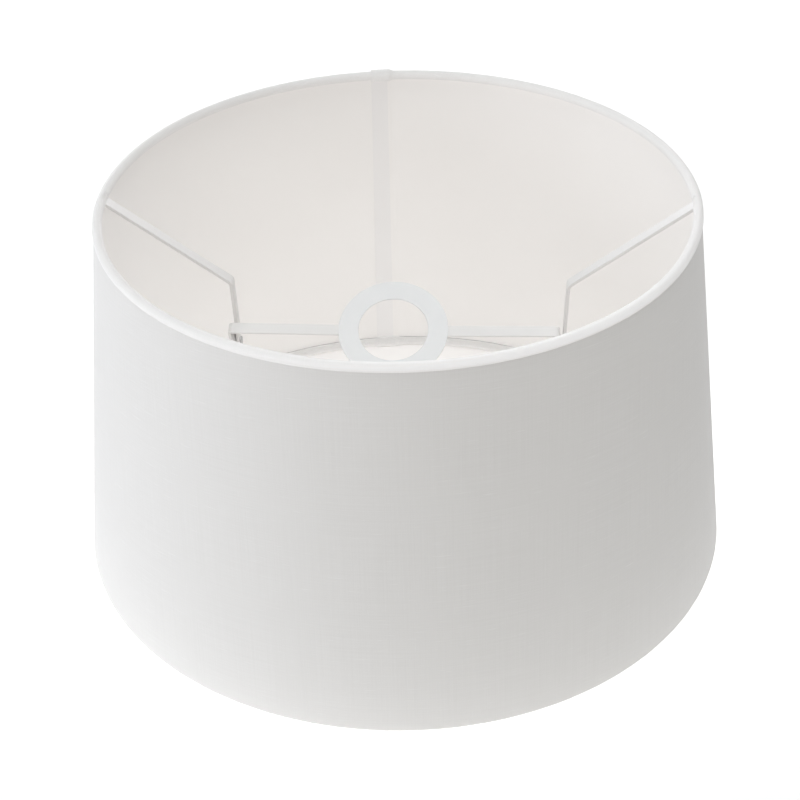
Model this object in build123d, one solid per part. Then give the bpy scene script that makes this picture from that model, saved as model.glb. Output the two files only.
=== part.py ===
from build123d import *

import math
import os

# A tapered drum lamp shade, narrow end up, standing on its wide end.
# All dimensions are in millimetres.
# Origin: centre of the wide end, on the surface that the shade stands on.
# +Z runs up the shade's axis, X runs through the two legs of the fitting, -Y is the front.

# Shade
top_diameter = 350.0
bottom_diameter = 400.0
shade_height = 230.0
wire_diameter = 4.0
roll_diameter = 5.8            # wire with the fabric rolled round it
tunnel_clearance = 0.1         # between the wire and the fabric round it
fabric_thickness = 0.5
liner_thickness = 0.45
layer_gap = 0.15               # glue line between the fabric and the liner
liner_edge_gap = 3.2           # from a wire's centre line to the liner's edge
lap_width = 11.0               # overlap where the liner's two ends are glued
lap_azimuth = 97.1             # middle of the overlap, degrees from +X

# Legs: two flat strips that drop from the top wire to the pivots
leg_width = 8.0
leg_thickness = 2.0
strip_edge_radius = 0.4        # the rolled long edges of the legs and arms
leg_bend_radius = 4.0
leg_top_reach = 170.6
leg_top_height = 225.6
leg_knee_reach = 100.3
leg_knee_height = 172.5
leg_foot_reach = 99.0
leg_straight_length = 9.5      # upright stretch above the pivot
slot_clearance = 0.3           # round the leg where it passes through the rolled edge

# Tilting ring for an E27 lamp holder
pivot_height = 129.7
ring_hole_diameter = 42.0
ring_diameter = 66.0
ring_thickness = 1.2
ring_edge_radius = 0.2
ring_reach = 16.8              # from the pivot line to the ring's top face
ring_offset = -3.75            # the ring sits this far towards the left leg
rest_tilt = 28.5               # the ring's front edge hangs down by this angle

# Arms: two flat strips that carry the ring, with ends bent down to the pivots
arm_thickness = 1.5
arm_width = 7.0
arm_root_radius = 25.5         # where an arm starts, from the ring's centre
arm_half_span = 99.9           # from the ring's centre to an arm's outer end
arm_rise = 1.0                 # the arms climb from the ring to their ends
arm_bow_radius = 40.0
arm_bend_radius = 1.9
joggle_bend_radius = 1.5
joggle_top = 8.0               # the bent-down end steps over to its leg between
joggle_bottom = 4.5            # these two heights over the pivot line
tab_gap = 0.3                  # between a bent-down end and its leg

# Rivets
rivet_diameter = 3.0
rivet_running_clearance = 0.05
rivet_head_diameter = 6.0
rivet_head_height = 1.2
rivet_head_radius = 0.9
rivet_play = 0.15

# Worked out from the values above
roll_radius = roll_diameter / 2
wire_radius = wire_diameter / 2
tunnel_radius = wire_radius + tunnel_clearance
top_wire_reach = top_diameter / 2 - roll_radius
top_wire_height = shade_height - roll_radius
bottom_wire_reach = bottom_diameter / 2 - roll_radius
bottom_wire_height = roll_radius
slant_length = math.hypot(bottom_wire_reach - top_wire_reach, top_wire_height - bottom_wire_height)
fabric_inner = roll_radius - fabric_thickness
liner_outer = fabric_inner - layer_gap
liner_inner = liner_outer - liner_thickness


def wall_point(out, up):
    """A point of the shade's half section, out from the line through both wires and up along it."""
    along_r = (top_wire_reach - bottom_wire_reach) / slant_length
    along_z = (top_wire_height - bottom_wire_height) / slant_length
    reach = bottom_wire_reach + along_r * up + along_z * out
    height = bottom_wire_height + along_z * up - along_r * out
    return Vector(reach, 0, height)


def circle_point(reach, height, radius, angle):
    """A point on a circle in the half section, its angle in degrees from the outward direction."""
    turn = math.radians(angle)
    return Vector(reach + radius * math.cos(turn), 0, height + radius * math.sin(turn))


def ring_wire(reach, height):
    """A round steel wire bent to a full circle and welded."""
    return Pos(0, 0, height) * Torus(reach, wire_radius)


def fabric_cover():
    """Outer fabric, its top and bottom edges rolled round the wires."""
    lean = math.degrees(math.atan2(bottom_wire_reach - top_wire_reach, top_wire_height - bottom_wire_height))
    tuck = math.sqrt(roll_radius ** 2 - fabric_inner ** 2)
    bottom_outer = wall_point(roll_radius, 0)
    top_outer = wall_point(roll_radius, slant_length)
    top_inner = wall_point(fabric_inner, slant_length - tuck)
    bottom_inner = wall_point(fabric_inner, tuck)
    over_top = circle_point(top_wire_reach, top_wire_height, roll_radius, 180 + lean)
    under_bottom = circle_point(bottom_wire_reach, bottom_wire_height, roll_radius, 180 + lean)
    outline = [
        Line(bottom_outer, top_outer),
        ThreePointArc(top_outer, over_top, top_inner),
        Line(top_inner, bottom_inner),
        ThreePointArc(bottom_inner, under_bottom, bottom_outer),
    ]
    section = make_face(Wire(outline))
    for reach, height in [(top_wire_reach, top_wire_height), (bottom_wire_reach, bottom_wire_height)]:
        section -= Plane.XZ * Pos(reach, height) * Circle(tunnel_radius)
    cover = revolve(section, Axis.Z)
    for side in (-1, 1):
        cover -= leg_slot(side)
    return cover


def liner_band(inner, outer):
    """Half section of a liner layer, a thin band that stops short of both wires."""
    corners = [
        wall_point(inner, liner_edge_gap),
        wall_point(outer, liner_edge_gap),
        wall_point(outer, slant_length - liner_edge_gap),
        wall_point(inner, slant_length - liner_edge_gap),
    ]
    return make_face(Polyline(*corners, close=True))


def liner():
    """Smooth film inside the fabric, with its ends lapped and glued at the back."""
    sheet = revolve(liner_band(liner_inner, liner_outer), Axis.Z)
    middle_radius = (top_wire_reach + bottom_wire_reach) / 2
    lap_angle = math.degrees(lap_width / middle_radius)
    lap_section = liner_band(liner_inner - liner_thickness, liner_outer - liner_thickness / 2)
    lap = revolve(lap_section, Axis.Z, lap_angle)
    return sheet + Rot(0, 0, lap_azimuth - lap_angle / 2) * lap


def strip(points, bend_radii, width, thickness):
    """A flat strip bent along points in the XZ plane, with its width along Y."""
    path = FilletPolyline(*[Vector(x, 0, z) for x, z in points], radius=bend_radii)
    across = Plane(origin=path @ 0, z_dir=path % 0, x_dir=(0, 1, 0))
    return sweep(across * RectangleRounded(width, thickness, strip_edge_radius), path)


def rounded_end(width, height):
    """A block seen along X as a strip whose lower end is a half circle round the pivot line."""
    length = 2 * top_wire_reach
    shank = Pos(0, 0, height / 2) * Box(length, width, height)
    return shank + Rot(0, 90, 0) * Cylinder(width / 2, length)


def pivot_hole(radius):
    """A cylinder along the pivot line, through both sides."""
    return Rot(0, 90, 0) * Cylinder(radius, 2 * top_wire_reach)


def leg_points(side):
    """Centre line of a leg, from the top wire to its end just under the pivot."""
    return [
        (side * leg_top_reach, leg_top_height),
        (side * leg_knee_reach, leg_knee_height),
        (side * leg_foot_reach, pivot_height + leg_straight_length),
        (side * leg_foot_reach, pivot_height - leg_width / 2),
    ]


def leg(side):
    """A leg, coped where it is welded to the top wire and drilled for its rivet."""
    body = strip(leg_points(side), leg_bend_radius, leg_width, leg_thickness)
    at_pivot = Pos(0, 0, pivot_height)
    body &= at_pivot * rounded_end(leg_width, shade_height - pivot_height)
    body -= ring_wire(top_wire_reach, top_wire_height)
    return body - at_pivot * pivot_hole(rivet_diameter / 2)


def leg_slot(side):
    """The cut in the rolled edge that lets a leg through to the wire."""
    (top_x, top_z), (knee_x, knee_z) = leg_points(side)[:2]
    top = Vector(top_x, 0, top_z)
    knee = Vector(knee_x, 0, knee_z)
    along = (top - knee).normalized()
    across = Plane(origin=knee, z_dir=along, x_dir=(0, 1, 0))
    section = Rectangle(leg_width + 2 * slot_clearance, leg_thickness + 2 * slot_clearance)
    return extrude(across * section, (top - knee).length + slot_clearance)


def tilted(shape):
    """Moves a shape drawn level, with the pivot line at zero height, to its resting tilt."""
    return Pos(0, 0, pivot_height) * Rot(rest_tilt, 0, 0) * shape


def gimbal_ring():
    """Flat ring that the lamp holder passes through."""
    disc = Cylinder(ring_diameter / 2, ring_thickness) - Cylinder(ring_hole_diameter / 2, ring_thickness)
    disc = fillet(disc.edges().filter_by(GeomType.CIRCLE), ring_edge_radius)
    return tilted(Pos(ring_offset, 0, ring_reach - ring_thickness / 2) * disc)


def arm(side):
    """An arm welded under the ring, its end bent down and stepped over to its leg's face."""
    root_height = ring_reach - ring_thickness - arm_thickness / 2
    end = ring_offset + side * (arm_half_span - arm_thickness / 2)
    tab = side * leg_foot_reach - leg_thickness / 2 - tab_gap - arm_thickness / 2
    points = [
        (ring_offset + side * arm_root_radius, root_height),
        (ring_offset + side * ring_diameter / 2, root_height),
        (end, root_height + arm_rise),
        (end, joggle_top),
        (tab, joggle_bottom),
        (tab, -arm_width / 2),
    ]
    bends = [arm_bow_radius, arm_bend_radius, joggle_bend_radius, joggle_bend_radius]
    body = strip(points, bends, arm_width, arm_thickness)
    body &= rounded_end(arm_width, ring_reach + arm_rise)
    return tilted(body - pivot_hole(rivet_diameter / 2 + rivet_running_clearance))


def rivet(left_face, right_face):
    """A rivet along the pivot line, its shank between two faces and a domed head past each."""
    length = right_face - left_face
    shank = Pos(0, 0, length / 2) * Cylinder(rivet_diameter / 2, length)
    head = Pos(0, 0, rivet_head_height / 2) * Cylinder(rivet_head_diameter / 2, rivet_head_height)
    head = fillet(head.edges().group_by(Axis.Z)[-1], rivet_head_radius)
    body = shank + Pos(0, 0, length) * head + Rot(180, 0, 0) * head
    return Pos(left_face, 0, pivot_height) * Rot(0, 90, 0) * body


def stack_faces(side):
    """Where a rivet's two heads start: the leg's far face, and just past the arm's end."""
    leg_far = side * leg_foot_reach + leg_thickness / 2
    arm_far = side * leg_foot_reach - leg_thickness / 2 - tab_gap - arm_thickness - rivet_play
    return arm_far, leg_far


def build_parts():
    """Every piece of the shade, by the name of its node."""
    return {
        "fabric_cover": fabric_cover(),
        "liner": liner(),
        "top_ring_wire": ring_wire(top_wire_reach, top_wire_height),
        "bottom_ring_wire": ring_wire(bottom_wire_reach, bottom_wire_height),
        "left_leg": leg(-1),
        "right_leg": leg(1),
        "gimbal_ring": gimbal_ring(),
        "left_arm": arm(-1),
        "right_arm": arm(1),
        "left_pivot_rivet": rivet(*stack_faces(-1)),
        "right_pivot_rivet": rivet(*stack_faces(1)),
    }


os.makedirs("parts", exist_ok=True)
for node_name, solid in build_parts().items():
    export_step(solid, f"parts/{node_name}.step")
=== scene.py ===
import math

import bpy
import numpy as np
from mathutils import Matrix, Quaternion, Vector


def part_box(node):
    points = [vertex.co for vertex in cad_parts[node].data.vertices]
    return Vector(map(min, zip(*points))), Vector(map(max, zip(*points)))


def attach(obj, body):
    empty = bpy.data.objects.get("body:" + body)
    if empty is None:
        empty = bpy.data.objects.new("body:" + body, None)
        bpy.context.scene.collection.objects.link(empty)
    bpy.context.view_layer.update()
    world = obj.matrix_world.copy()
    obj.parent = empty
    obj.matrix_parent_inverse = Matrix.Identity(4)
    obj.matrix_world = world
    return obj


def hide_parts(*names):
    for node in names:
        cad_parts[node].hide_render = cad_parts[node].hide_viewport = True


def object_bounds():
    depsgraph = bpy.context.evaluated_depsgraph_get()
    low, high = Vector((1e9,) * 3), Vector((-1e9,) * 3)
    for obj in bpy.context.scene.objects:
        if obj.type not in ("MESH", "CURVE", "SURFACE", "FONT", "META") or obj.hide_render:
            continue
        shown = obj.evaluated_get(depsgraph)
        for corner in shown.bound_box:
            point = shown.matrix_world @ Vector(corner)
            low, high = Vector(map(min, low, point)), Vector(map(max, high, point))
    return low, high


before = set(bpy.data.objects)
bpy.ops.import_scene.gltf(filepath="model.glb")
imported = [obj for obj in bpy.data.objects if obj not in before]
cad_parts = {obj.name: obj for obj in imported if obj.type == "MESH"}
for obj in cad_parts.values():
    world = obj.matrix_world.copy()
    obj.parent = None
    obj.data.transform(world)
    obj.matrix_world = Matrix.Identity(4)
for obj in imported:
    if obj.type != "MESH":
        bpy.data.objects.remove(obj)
cad_low, cad_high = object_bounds()

# Everything is in metres, in the frame of the CAD model: the shade stands on z = 0 round the z axis,
# its legs are on the x axis and its front faces -y.
MM = 0.001

# The shade's shape, from the CAD model
cover_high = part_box("fabric_cover")[1]
top_wire_low, top_wire_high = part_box("top_ring_wire")
bottom_wire_low, bottom_wire_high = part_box("bottom_ring_wire")
wire_radius = (top_wire_high.z - top_wire_low.z) / 2
top_reach = top_wire_high.x - wire_radius
bottom_reach = bottom_wire_high.x - wire_radius
top_height = (top_wire_high.z + top_wire_low.z) / 2
bottom_height = (bottom_wire_high.z + bottom_wire_low.z) / 2
roll_radius = cover_high.z - top_height
slant = math.hypot(bottom_reach - top_reach, top_height - bottom_height)
flare = (bottom_reach - top_reach) / slant      # sine of the wall's lean
upright = (top_height - bottom_height) / slant  # cosine of the wall's lean
mean_reach = (top_reach + bottom_reach) / 2
apex = bottom_reach / flare                     # from the bottom wire up the wall to the point of the cone

# Fabric
fabric_thickness = 0.5 * MM
top_crease = 0.9 * MM          # how far the top roll stands out over the wall
bottom_tail_angle = 48         # where the fabric's edge ends round the bottom wire, in degrees
top_tail_angle = 282           # the same round the top wire
roll_step = 15                 # degrees between rows on a roll
wall_rows = 26
crease_rows = ((0.0, 1.0 * MM), (0.05 * MM, 0.3 * MM), (0.02 * MM, -0.05 * MM))  # (inward, below the crease)
top_pucker_height = 0.09 * MM
bottom_pucker_height = 0.08 * MM
wall_wave_height = 0.22 * MM

# Liner
liner_thickness = 0.45 * MM
liner_depth = 0.65 * MM        # from the fabric's outer face to the liner's outer face
liner_edge_gap = 2.7 * MM
liner_rows = 30
liner_wave_height = 0.05 * MM
liner_low_edge_height = 0.14 * MM
liner_high_edge_height = 0.12 * MM

# The lap where the sheet's two ends are glued at the back
lap_width = 11 * MM
lap_azimuth = math.radians(97.1)
lap_lift = 1.0 * MM            # how far the outer end stands out
lap_ramp = 5 * MM              # over which it lifts
lap_glue = 0.15 * MM           # between the film's two ends

# Where the legs pass through the top roll
leg_half_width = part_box("right_leg")[1].y
slit_half_width = leg_half_width + 0.35 * MM

slit_depth = 0.75 * MM
slit_middle_angle = 150        # round the top roll, in degrees
slit_spread_angle = 42

stations_round = 330
least_station_gap = 0.00012    # radians

# The studio: where all the soft boxes face, and the strengths of what glows by itself
light_target = Vector((0, 0, 0.11))
floor_half_width = 6.0
# the floor's glow holds painted light: a pool of light near the shade and a shadow in its footprint
floor_glow_far = 0.31
floor_painted_light_pool = 0.39
floor_painted_shadow_glow = 0.235
sky_strength = 0.10            # as a light
backdrop_strength = 1.05       # as the camera sees it


# ---------------------------------------------------------------- small helpers

def smooth_step(value, start, end):
    """0 before the start, 1 past the end and a smooth rise between them."""
    t = np.clip((value - start) / (end - start), 0, 1)
    return t * t * (3 - 2 * t)


def wrap(angle):
    """An angle brought to within half a turn of zero."""
    return (angle + math.pi) % (2 * math.pi) - math.pi


def ripple(angle, counts, seed):
    """An uneven wave round the shade, about -1 to 1, made of waves that fit round it these many times."""
    rng = np.random.default_rng(seed)
    total = np.zeros_like(angle)
    for count in counts:
        total = total + rng.uniform(0.4, 1.0) * np.sin(count * angle + rng.uniform(0, 2 * math.pi))
    return total / len(counts) * 1.4


def half_section_point(out, up):
    """A point of the half section (reach, height), out from the line through both wires and up along it."""
    reach = bottom_reach - flare * up + upright * out
    height = bottom_height + upright * up + flare * out
    return reach, height


def on_axis(reach, angles, height):
    """Points at these reaches and heights, one for each azimuth."""
    return np.stack([reach * np.cos(angles), reach * np.sin(angles), height], axis=1)


def flat_point(up_the_wall, angles, middle):
    """Where points of the wall come to lie when the cone is unrolled."""
    radius = apex - up_the_wall
    swing = (angles - middle) * flare
    return np.stack([radius * np.sin(swing), apex - radius * np.cos(swing)], axis=1)


def sector_cut(widest, narrowest, swing):
    """The rectangle round a sector of a ring, and the sector's area."""
    cut = (2 * widest * math.sin(swing / 2), widest - narrowest * math.cos(swing / 2))
    return cut, swing / 2 * (widest ** 2 - narrowest ** 2)


def point_values(piece, name, values):
    """Keeps a number at each point of a sheet, the same on both of its faces."""
    layer = piece.data.attributes.new(name, "FLOAT", "POINT")
    layer.data.foreach_set("value", np.concatenate([values, values]).astype(np.float32))


def mesh_piece(name, points, faces, material, flat, sharp_angle):
    """A sheet as an object, with its place in the flat cut as UVs."""
    uvs = np.concatenate([flat.reshape(-1, 2), flat.reshape(-1, 2)])
    mesh = bpy.data.meshes.new(name)
    mesh.from_pydata([tuple(p) for p in points], [], faces)
    mesh.update()
    layer = mesh.uv_layers.new(name="flat_cut")
    loop_points = np.empty(len(mesh.loops), dtype=np.int64)
    mesh.loops.foreach_get("vertex_index", loop_points)
    layer.data.foreach_set("uv", uvs[loop_points].ravel())
    mesh.polygons.foreach_set("use_smooth", [True] * len(mesh.polygons))
    mesh.set_sharp_from_angle(angle=math.radians(sharp_angle))
    piece = bpy.data.objects.new(name, mesh)
    bpy.context.scene.collection.objects.link(piece)
    mesh.materials.append(material)
    return piece


def closed_sheet(outer, inner):
    """Points and faces of a thin closed sheet, from grids [station][row] of its outer and inner face."""
    stations, rows = outer.shape[:2]
    count = stations * rows

    def at(layer, i, j):
        return layer * count + i * rows + j

    faces = []
    for i in range(stations - 1):
        for j in range(rows - 1):
            faces.append((at(0, i, j), at(0, i + 1, j), at(0, i + 1, j + 1), at(0, i, j + 1)))
            faces.append((at(1, i, j), at(1, i, j + 1), at(1, i + 1, j + 1), at(1, i + 1, j)))
    for i in range(stations - 1):
        faces.append((at(0, i, 0), at(1, i, 0), at(1, i + 1, 0), at(0, i + 1, 0)))
        faces.append((at(0, i, rows - 1), at(0, i + 1, rows - 1), at(1, i + 1, rows - 1), at(1, i, rows - 1)))
    for j in range(rows - 1):
        last = stations - 1
        faces.append((at(0, 0, j), at(0, 0, j + 1), at(1, 0, j + 1), at(1, 0, j)))
        faces.append((at(0, last, j), at(1, last, j), at(1, last, j + 1), at(0, last, j + 1)))
    points = np.concatenate([outer.reshape(-1, 3), inner.reshape(-1, 3)])
    return points, faces


# ---------------------------------------------------------------- materials

class Nodes:
    """A material's node tree, with short ways to add and link nodes."""

    def __init__(self, name):
        self.material = bpy.data.materials.new(name)
        self.material.use_nodes = True
        self.tree = self.material.node_tree
        self.shader = self.tree.nodes["Principled BSDF"]

    def add(self, kind, **settings):
        node = self.tree.nodes.new(kind)
        for key, value in settings.items():
            setattr(node, key, value)
        return node

    def link(self, source, target):
        self.tree.links.new(source, target)

    def math(self, operation, a, b=None):
        node = self.add("ShaderNodeMath", operation=operation)
        for socket, value in zip(node.inputs, (a, b)):
            if value is None:
                continue
            if isinstance(value, (int, float)):
                socket.default_value = value
            else:
                self.link(value, socket)
        return node.outputs[0]

    def scaled(self, vector, scale):
        node = self.add("ShaderNodeMapping")
        node.inputs["Scale"].default_value = scale
        self.link(vector, node.inputs["Vector"])
        return node.outputs[0]

    def noise(self, vector, scale, detail=2, roughness=0.5):
        node = self.add("ShaderNodeTexNoise")
        node.inputs["Scale"].default_value = scale
        node.inputs["Detail"].default_value = detail
        node.inputs["Roughness"].default_value = roughness
        self.link(vector, node.inputs["Vector"])
        return node.outputs[0]

    def spread(self, value, from_low, from_high, to_low, to_high, smooth=False):
        node = self.add("ShaderNodeMapRange", interpolation_type="SMOOTHSTEP" if smooth else "LINEAR")
        for socket, number in zip(node.inputs[1:5], (from_low, from_high, to_low, to_high)):
            socket.default_value = number
        self.link(value, node.inputs[0])
        return node.outputs[0]

    def blend(self, factor, first, second):
        node = self.add("ShaderNodeMix", data_type="RGBA", clamp_factor=True)
        self.link(factor, node.inputs["Factor"])
        for socket, colour in ((node.inputs[6], first), (node.inputs[7], second)):
            if isinstance(colour, tuple):
                socket.default_value = (*colour, 1)
            else:
                self.link(colour, socket)
        return node.outputs[2]

    def bump(self, height, distance, strength):
        node = self.add("ShaderNodeBump")
        node.inputs["Strength"].default_value = strength
        node.inputs["Distance"].default_value = distance
        self.link(height, node.inputs["Height"])
        return node.outputs[0]


def fabric_material():
    """Off-white plain weave with uneven threads, in the coordinates of the flat cut."""
    n = Nodes("shade_fabric")
    uv = n.add("ShaderNodeUVMap", uv_map="flat_cut").outputs[0]
    thread_pitch = 0.62 * MM
    drift = n.noise(uv, 55, detail=3)
    wander = n.math("MULTIPLY", n.math("SUBTRACT", drift, 0.5), 0.9 * MM)
    parts = n.add("ShaderNodeSeparateXYZ")
    n.link(uv, parts.inputs[0])
    across = n.math("ADD", parts.outputs[0], wander)
    along = n.math("ADD", parts.outputs[1], wander)
    warp = n.math("COSINE", n.math("MULTIPLY", across, math.pi / thread_pitch))
    weft = n.math("COSINE", n.math("MULTIPLY", along, math.pi / thread_pitch))
    over = n.math("MULTIPLY", warp, weft)
    warp_share = n.math("ADD", n.math("MULTIPLY", over, 0.35), 0.65)
    weft_share = n.math("SUBTRACT", 0.65, n.math("MULTIPLY", over, 0.35))
    warp_height = n.math("MULTIPLY", n.math("ABSOLUTE", warp), warp_share)
    weft_height = n.math("MULTIPLY", n.math("ABSOLUTE", weft), weft_share)
    weave = n.math("MAXIMUM", warp_height, weft_height)
    # single thicker threads, mostly along the weft
    weft_slub = n.spread(n.noise(n.scaled(uv, (70, 1150, 1)), 1, detail=1.5), 0.63, 0.78, 0, 1, smooth=True)
    warp_slub = n.spread(n.noise(n.scaled(uv, (1150, 80, 1)), 1, detail=1.5), 0.66, 0.80, 0, 0.6, smooth=True)
    slub = n.math("MAXIMUM", weft_slub, warp_slub)
    weft_streak = n.noise(n.scaled(uv, (14, 1500, 1)), 1, detail=1)
    warp_streak = n.noise(n.scaled(uv, (1500, 14, 1)), 1, detail=1)
    streak = n.math("ADD", weft_streak, warp_streak)
    mottle = n.noise(uv, 22, detail=4, roughness=0.6)
    height = n.math("ADD", weave, n.math("MULTIPLY", slub, 0.9))
    height = n.math("ADD", height, n.math("MULTIPLY", streak, 0.35))
    n.link(n.bump(height, 0.08 * MM, strength=0.55), n.shader.inputs["Normal"])
    shade = n.spread(streak, 0.6, 1.4, 0.0, 1.0)
    base = n.blend(shade, (0.800, 0.792, 0.780), (0.842, 0.836, 0.826))
    # painted shade: the colour darkens in the hollows between the threads
    weave_gap_shade = n.spread(weave, 0.15, 0.85, 0.35, 0.0)
    base = n.blend(weave_gap_shade, base, (0.735, 0.722, 0.705))
    base = n.blend(n.math("MULTIPLY", slub, 0.6), base, (0.885, 0.882, 0.874))
    base = n.blend(n.spread(mottle, 0.35, 0.65, 0.0, 0.35), base, (0.815, 0.806, 0.792))
    n.link(base, n.shader.inputs["Base Color"])
    n.link(n.spread(weave, 0.2, 0.9, 0.96, 0.82), n.shader.inputs["Roughness"])
    n.shader.inputs["Specular IOR Level"].default_value = 0.25
    n.shader.inputs["Sheen Weight"].default_value = 0.12
    n.shader.inputs["Sheen Roughness"].default_value = 0.45
    # painted glow: the rolls have no film behind the fabric, so this emission, as strong as each row's roll
    # point value, stands in for light coming round inside them
    roll = n.add("ShaderNodeAttribute", attribute_name="roll").outputs["Fac"]
    n.shader.inputs["Emission Color"].default_value = (0.972, 0.962, 1.0, 1)
    n.link(n.math("MULTIPLY", roll, 0.28), n.shader.inputs["Emission Strength"])
    return n.material


def liner_material():
    """Smooth satin film, cooler and darker where its two ends lap: painted shade for the doubled film letting
    less light through.
    """
    n = Nodes("liner_film")
    uv = n.add("ShaderNodeUVMap", uv_map="flat_cut").outputs[0]
    lap = n.add("ShaderNodeAttribute", attribute_name="lap").outputs["Fac"]
    cloud = n.noise(uv, 9, detail=3)
    grain = n.noise(uv, 2600, detail=1)
    brushed = n.noise(n.scaled(uv, (25, 700, 1)), 1, detail=2)
    base = n.blend(n.spread(cloud, 0.35, 0.65, 0, 1), (0.846, 0.826, 0.800), (0.862, 0.843, 0.818))
    # painted shade: cooler and darker where the film's two ends lap
    base = n.blend(lap, base, (0.806, 0.792, 0.778))
    n.link(base, n.shader.inputs["Base Color"])
    n.link(n.spread(brushed, 0.3, 0.7, 0.46, 0.56), n.shader.inputs["Roughness"])
    height = n.math("ADD", n.math("MULTIPLY", grain, 0.4), n.math("MULTIPLY", brushed, 0.6))
    n.link(n.bump(height, 0.02 * MM, strength=0.5), n.shader.inputs["Normal"])
    n.shader.inputs["Specular IOR Level"].default_value = 0.35
    # painted glow standing in for the daylight that comes through the fabric and the film
    n.shader.inputs["Emission Color"].default_value = (0.953, 0.965, 1.0, 1)
    n.shader.inputs["Emission Strength"].default_value = 0.134
    return n.material


def powder_coat(name, low, high, roughness):
    """White powder coat: a fine orange peel, a little uneven in colour and gloss."""
    n = Nodes(name)
    place = n.add("ShaderNodeTexCoord").outputs["Object"]
    peel = n.noise(place, 900, detail=2)
    speck = n.noise(place, 4200, detail=1)
    cloud = n.noise(place, 45, detail=3)
    n.link(n.blend(n.spread(cloud, 0.35, 0.65, 0, 1), low, high), n.shader.inputs["Base Color"])
    n.link(n.spread(cloud, 0.3, 0.7, roughness - 0.05, roughness + 0.05), n.shader.inputs["Roughness"])
    height = n.math("ADD", n.math("MULTIPLY", peel, 0.8), n.math("MULTIPLY", speck, 0.2))
    n.link(n.bump(height, 0.05 * MM, strength=0.35), n.shader.inputs["Normal"])
    n.shader.inputs["Coat Weight"].default_value = 0.15
    n.shader.inputs["Coat Roughness"].default_value = 0.3
    return n.material


def zinc_plate():
    """Dull zinc on the rivets."""
    n = Nodes("rivet_steel")
    place = n.add("ShaderNodeTexCoord").outputs["Object"]
    bloom = n.noise(place, 700, detail=3)
    n.link(n.blend(n.spread(bloom, 0.35, 0.65, 0, 1), (0.52, 0.52, 0.53), (0.66, 0.66, 0.66)),
           n.shader.inputs["Base Color"])
    n.link(n.spread(bloom, 0.3, 0.7, 0.32, 0.48), n.shader.inputs["Roughness"])
    n.link(n.bump(n.noise(place, 2500), 0.02 * MM, strength=0.4), n.shader.inputs["Normal"])
    n.shader.inputs["Metallic"].default_value = 1.0
    return n.material


# ---------------------------------------------------------------- soft pieces

def station_angles(edge_angle):
    """Azimuths from the lap's start, once round and over the lap, closer together at the legs and the lap."""
    lap_angle = lap_width / mean_reach
    start = lap_azimuth - lap_angle / 2
    end = start + 2 * math.pi + lap_angle
    angles = list(np.linspace(start, end, stations_round))
    at_leg = np.linspace(-1, 1, 31) * (slit_half_width + 2.5 * MM) / top_reach
    for centre in (math.pi, 2 * math.pi):
        angles += list(centre + at_leg)
    for edge in (start + 2 * math.pi, end):
        angles += list(edge + np.linspace(-1, 0, 9) * edge_angle)
    angles = np.array(sorted(a for a in angles if start <= a <= end))
    apart = np.concatenate([[True], np.diff(angles) > least_station_gap])
    return angles[apart], start, end


def cover_profile():
    """Rows of the fabric's outer face, bottom tail to top tail: (out, up, outward direction, stretch)."""
    rows = []
    for angle in np.arange(bottom_tail_angle, 360 + roll_step / 2, roll_step):
        turn = math.radians(min(angle, 360))
        rows.append((roll_radius * math.cos(turn), roll_radius * math.sin(turn), turn, "bottom"))
    # the wall leans in a little, so that it meets the top roll in a crease under it
    wall_top_out = roll_radius - top_crease
    crease_up = slant - math.sqrt(roll_radius ** 2 - wall_top_out ** 2)
    for share in np.linspace(0, 1, wall_rows + 1)[1:-1]:
        rows.append((roll_radius - top_crease * share, crease_up * share, 0.0, "wall"))
    for dent, below in crease_rows:
        rows.append((wall_top_out - dent, crease_up - below, 0.0, "wall"))
    crease_angle = -math.degrees(math.acos(wall_top_out / roll_radius))
    for angle in np.arange(crease_angle + 3, top_tail_angle + roll_step / 2, roll_step / 1.5):
        turn = math.radians(angle)
        rows.append((roll_radius * math.cos(turn), slant + roll_radius * math.sin(turn), turn, "top"))
    return rows


def painted_roll_glow(angles, turn, stretch):
    """Strength of the painted glow on the fabric of a roll, by where the row is on it: 0 at its darkest."""
    if stretch == "wall":
        return 0.0
    degrees = math.degrees(turn)
    if stretch == "bottom":
        return float(np.interp(degrees, (48, 75, 100, 150, 190, 290), (0.70, 0.35, 0.05, 0.15, 0.50, 0.0)))
    own = np.interp(degrees, (-50, 0, 50, 110, 150, 180, 215, 282),
                    (0.42, 0.40, 0.05, 0.05, 0.33, 0.42, 0.22, 0.05))
    # painted light: the right front of the top roll glows most, on its upper outer side
    bright_side = (0.5 + 0.5 * np.cos(angles - math.radians(-60))) ** 4
    facing = float(smooth_step(degrees, -35, 15) * (1 - smooth_step(degrees, 70, 130)))
    return own + 0.66 * bright_side * facing


def leg_slits(angles):
    """1 where a leg passes through the top roll, 0 away from the legs."""
    slit = np.zeros(len(angles))
    for centre in (math.pi, 2 * math.pi):
        aside = np.abs(np.array([wrap(a - centre) for a in angles])) * top_reach
        away = smooth_step(aside, slit_half_width - 0.1 * MM, slit_half_width + 0.55 * MM)
        slit = np.maximum(slit, 1 - away)
    return slit


def distances_along(profile):
    """How far each row of a profile is from its first row, along the fabric."""
    distances = [0.0]
    for (out, up, _, _), (next_out, next_up, _, _) in zip(profile, profile[1:]):
        distances.append(distances[-1] + math.hypot(next_out - out, next_up - up))
    return distances


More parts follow.
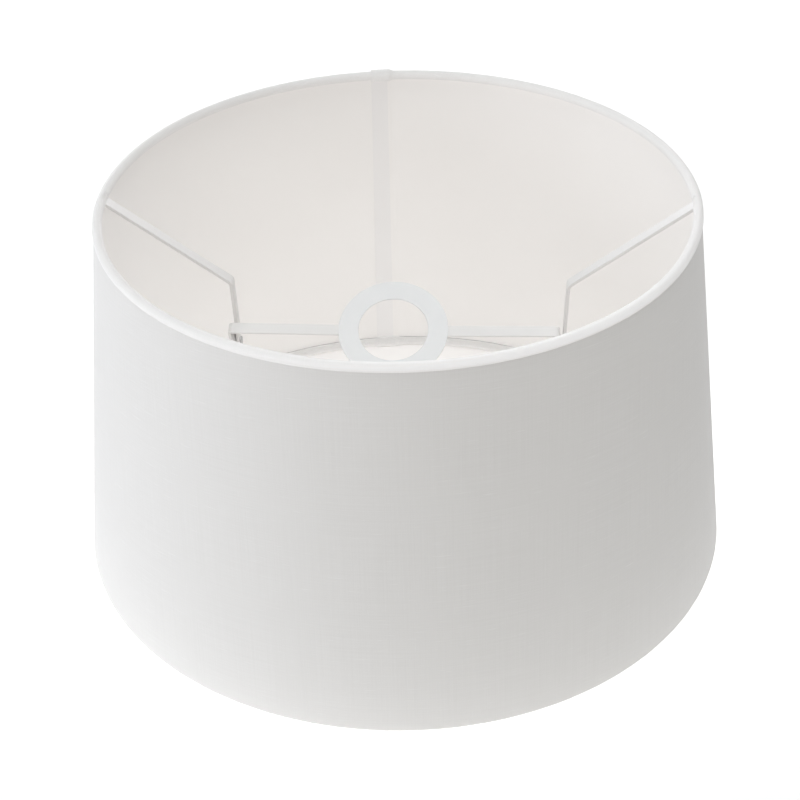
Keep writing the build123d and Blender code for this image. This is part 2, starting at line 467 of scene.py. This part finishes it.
def shade_fabric(material):
    """The fabric: stretched between the wires, rolled round both, its far end lapped over its near end."""
    angles, start, end = station_angles(6 * MM / bottom_reach)
    profile = cover_profile()
    stations, rows = len(angles), len(profile)
    outer = np.zeros((stations, rows, 3))
    inner = np.zeros((stations, rows, 3))
    flat = np.zeros((stations, rows, 2))
    painted_roll_glow_values = np.zeros((stations, rows))
    arc = (angles - start) * mean_reach
    total = (end - start) * mean_reach
    lift = lap_lift * smooth_step(arc, total - lap_width - lap_ramp, total - lap_width - 1 * MM)
    top_pucker = ripple(angles, (41, 67, 96, 133, 171), 3) * top_pucker_height
    bottom_pucker = ripple(angles, (37, 59, 88, 127), 4) * bottom_pucker_height
    wall_wave = ripple(angles, (3, 5, 8, 13), 5)
    slit = leg_slits(angles)
    lengths = distances_along(profile)
    wall_start = lengths[[row[3] for row in profile].index("wall") - 1]
    middle = (start + end) / 2
    for j, (out, up, turn, stretch) in enumerate(profile):
        pucker = np.zeros(stations)
        opening = np.zeros(stations)
        if stretch == "top":
            pucker = top_pucker
            # the fabric is cut and lies lower round a leg, on the roll's inner upper side
            facing = math.exp(-((math.degrees(turn) - slit_middle_angle) / slit_spread_angle) ** 4)
            opening = slit * facing * slit_depth
        if stretch == "bottom":
            fade = smooth_step(turn, math.radians(330), math.radians(360))
            pucker = bottom_pucker * (1 - fade)
        if stretch == "wall":
            pucker = wall_wave * wall_wave_height * math.sin(math.pi * (up / slant)) ** 2
        grow = lift + pucker
        # painted glow for this row of the fabric, by its place on a roll and round the shade
        painted_roll_glow_values[:, j] = painted_roll_glow(angles, turn, stretch)
        reach_out = out + math.cos(turn) * (grow - opening)
        reach_up = up + math.sin(turn) * (grow - opening)
        reach, height = half_section_point(reach_out, reach_up)
        thin_out = reach_out - math.cos(turn) * fabric_thickness
        thin_up = reach_up - math.sin(turn) * fabric_thickness
        thin_reach, thin_height = half_section_point(thin_out, thin_up)
        height = np.maximum(height, 0.0)
        thin_height = np.maximum(thin_height, fabric_thickness)
        outer[:, j] = on_axis(reach, angles, height)
        inner[:, j] = on_axis(thin_reach, angles, thin_height)
        flat[:, j] = flat_point(lengths[j] - wall_start, angles, middle)
    points, faces = closed_sheet(outer, inner)
    piece = mesh_piece("shade_fabric", points, faces, material, flat, sharp_angle=30)
    # each row's painted glow is kept as the roll point values
    point_values(piece, "roll", painted_roll_glow_values.ravel())
    widest = apex + wall_start
    return piece, *sector_cut(widest, widest - lengths[-1], (end - start) * flare)


def liner_film(material):
    """The film inside the fabric. Its far end lies over its near end, on the inside."""
    angles, start, end = station_angles(5 * MM / bottom_reach)
    stations = len(angles)
    arc = (angles - start) * mean_reach
    total = (end - start) * mean_reach
    sink = (liner_thickness + lap_glue) * smooth_step(
        arc, total - lap_width - lap_ramp, total - lap_width - 0.5 * MM)
    ups = np.linspace(liner_edge_gap, slant - liner_edge_gap, liner_rows)
    outer = np.zeros((stations, liner_rows, 3))
    inner = np.zeros((stations, liner_rows, 3))
    flat = np.zeros((stations, liner_rows, 2))
    wall_wave = ripple(angles, (3, 5, 8, 13), 5)
    own_wave = ripple(angles, (6, 11, 17), 8)
    low_edge = ripple(angles, (23, 41, 71, 113), 9) * liner_low_edge_height
    high_edge = ripple(angles, (19, 37, 83), 10) * liner_high_edge_height
    for j, straight_up in enumerate(ups):
        share = straight_up / slant
        up = straight_up + low_edge * (1 - share) ** 12 + high_edge * share ** 12
        face = roll_radius - top_crease * share - liner_depth
        bulge = math.sin(math.pi * share) ** 2
        give = (wall_wave * wall_wave_height + own_wave * liner_wave_height) * bulge
        for grid, depth in ((outer, 0.0), (inner, liner_thickness)):
            reach, height = half_section_point(face + give - sink - depth, up)
            grid[:, j] = on_axis(reach, angles, height)
        flat[:, j] = flat_point(straight_up, angles, (start + end) / 2)
    points, faces = closed_sheet(outer, inner)
    piece = mesh_piece("shade_liner", points, faces, material, flat, sharp_angle=50)
    # the lap's painted shade, kept as the lap point values
    painted_lap_shade = smooth_step(arc, total - lap_width - 0.4 * MM, total - lap_width)
    point_values(piece, "lap", np.repeat(painted_lap_shade, liner_rows))
    return piece, *sector_cut(apex - ups[0], apex - ups[-1], (end - start) * flare)


# ---------------------------------------------------------------- metal pieces from the CAD model

def dress_metal(node, material):
    """Gives a CAD piece its finish."""
    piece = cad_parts[node]
    piece.data.materials.clear()
    piece.data.materials.append(material)


# ---------------------------------------------------------------- stage, lights and camera

def stage_floor():
    """A white floor that glows, with a painted pool of light close round the shade and a painted shadow,
    dimmer and warmer, in the shade's own footprint.
    """
    half = floor_half_width
    corners = [(-half, -half, 0), (half, -half, 0), (half, half, 0), (-half, half, 0)]
    mesh = bpy.data.meshes.new("studio_floor")
    mesh.from_pydata(corners, [], [(0, 1, 2, 3)])
    floor = bpy.data.objects.new("studio_floor", mesh)
    bpy.context.scene.collection.objects.link(floor)
    n = Nodes("studio_floor")
    place = n.add("ShaderNodeTexCoord").outputs["Object"]
    length = n.add("ShaderNodeVectorMath", operation="LENGTH")
    n.link(place, length.inputs[0])
    distance = length.outputs["Value"]
    rim = cover_high.x
    outside = n.spread(distance, rim - 4.5 * MM, rim - 1.5 * MM, 0, 1)
    # painted pool of light, fading away from the shade's rim
    near_rim_light_pool = n.spread(distance, rim, rim + 120 * MM, floor_painted_light_pool, 0, smooth=True)
    glow = n.math("ADD", near_rim_light_pool, floor_glow_far)
    glow = n.math("MULTIPLY", glow, outside)
    # painted shadow inside the shade's footprint
    footprint_shadow_glow = n.math("MULTIPLY", n.math("SUBTRACT", 1.0, outside), floor_painted_shadow_glow)
    n.link(n.math("ADD", glow, footprint_shadow_glow), n.shader.inputs["Emission Strength"])
    # warmer painted light inside the footprint
    n.link(n.blend(outside, (1.0, 0.93, 0.88), (1.0, 1.0, 1.0)), n.shader.inputs["Emission Color"])
    n.shader.inputs["Base Color"].default_value = (0.8, 0.8, 0.8, 1)
    n.shader.inputs["Roughness"].default_value = 0.9
    mesh.materials.append(n.material)


def area_light(name, size, power, place, colour):
    """A soft box that faces the middle of the shade."""
    data = bpy.data.lights.new(name, "AREA")
    data.shape = "RECTANGLE"
    data.size, data.size_y = size
    data.energy = power
    data.color = colour
    light = bpy.data.objects.new(name, data)
    light.location = place
    light.rotation_mode = "QUATERNION"
    light.rotation_quaternion = (light_target - Vector(place)).to_track_quat("-Z", "Y")
    bpy.context.scene.collection.objects.link(light)


def studio():
    """Large soft boxes, strongest from above, from behind and from the left, and a white backdrop."""
    area_light("top_softbox", (2.0, 2.0), 31.8, (0.0, 0.0, 2.2), (0.975, 1.0, 1.0))
    area_light("left_softbox", (1.6, 1.0), 17.6, (-2.1, -0.4, 0.55), (0.92, 0.95, 1.0))
    area_light("left_front_softbox", (1.6, 1.6), 4.0, (-1.5, -1.6, 1.0), (1.0, 0.97, 0.98))
    area_light("front_softbox", (1.6, 1.2), 4.9, (0.2, -2.2, 1.2), (1.0, 0.94, 0.87))
    area_light("right_front_softbox", (1.6, 1.4), 3.3, (1.5, -1.6, 1.0), (1.0, 0.94, 0.87))
    area_light("back_softbox", (2.4, 1.6), 28.5, (0.0, 2.2, 0.9), (1.0, 0.96, 1.0))
    scene = bpy.context.scene
    world = bpy.data.worlds.new("studio")
    scene.world = world
    world.use_nodes = True
    tree = world.node_tree
    sky = tree.nodes["Background"]
    sky.inputs["Color"].default_value = (1, 1, 1, 1)
    seen = tree.nodes.new("ShaderNodeLightPath").outputs["Is Camera Ray"]
    strength = tree.nodes.new("ShaderNodeMapRange")
    strength.inputs["To Min"].default_value = sky_strength
    strength.inputs["To Max"].default_value = backdrop_strength
    tree.links.new(seen, strength.inputs["Value"])
    tree.links.new(strength.outputs[0], sky.inputs["Strength"])
    scene.view_settings.view_transform = "Standard"
    scene.view_settings.look = "None"


def camera():
    """High in front of the shade and a little to its right, with a long lens."""
    distance = 1.10004
    azimuth, elevation = math.radians(3.8), math.radians(33.717)
    yaw, pitch, roll = math.radians(0.0665), math.radians(-1.19), math.radians(1.412)
    focal_over_width = 2.2429
    back = Vector((math.sin(azimuth) * math.cos(elevation),
                   -math.cos(azimuth) * math.cos(elevation),
                   math.sin(elevation)))
    data = bpy.data.cameras.new("camera")
    data.sensor_width = 36
    data.lens = data.sensor_width * focal_over_width
    view = bpy.data.objects.new("camera", data)
    middle = Vector((0, 0, cad_high.z / 2))
    view.location = middle + back * distance
    turn = (-back).to_track_quat("-Z", "Y")
    turn = turn @ Quaternion((0, 1, 0), yaw) @ Quaternion((1, 0, 0), pitch) @ Quaternion((0, 0, 1), -roll)
    view.rotation_mode = "QUATERNION"
    view.rotation_quaternion = turn
    bpy.context.scene.collection.objects.link(view)
    bpy.context.scene.camera = view


# ---------------------------------------------------------------- making

camera()
studio()
stage_floor()

fabric_look = fabric_material()
liner_look = liner_material()
frame_white = powder_coat("frame_white", (0.795, 0.785, 0.775), (0.825, 0.815, 0.805), 0.45)
ring_white = powder_coat("ring_white", (0.800, 0.808, 0.815), (0.825, 0.832, 0.838), 0.4)
rivet_steel = zinc_plate()

fabric, fabric_cut, fabric_area = shade_fabric(fabric_look)
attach(fabric, "shade")
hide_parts("fabric_cover")

film, film_cut, film_area = liner_film(liner_look)
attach(film, "shade")
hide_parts("liner")

for node in ("left_leg", "right_leg", "left_arm", "right_arm", "top_ring_wire", "bottom_ring_wire"):
    dress_metal(node, frame_white)
dress_metal("gimbal_ring", ring_white)
for node in ("left_pivot_rivet", "right_pivot_rivet"):
    dress_metal(node, rivet_steel)
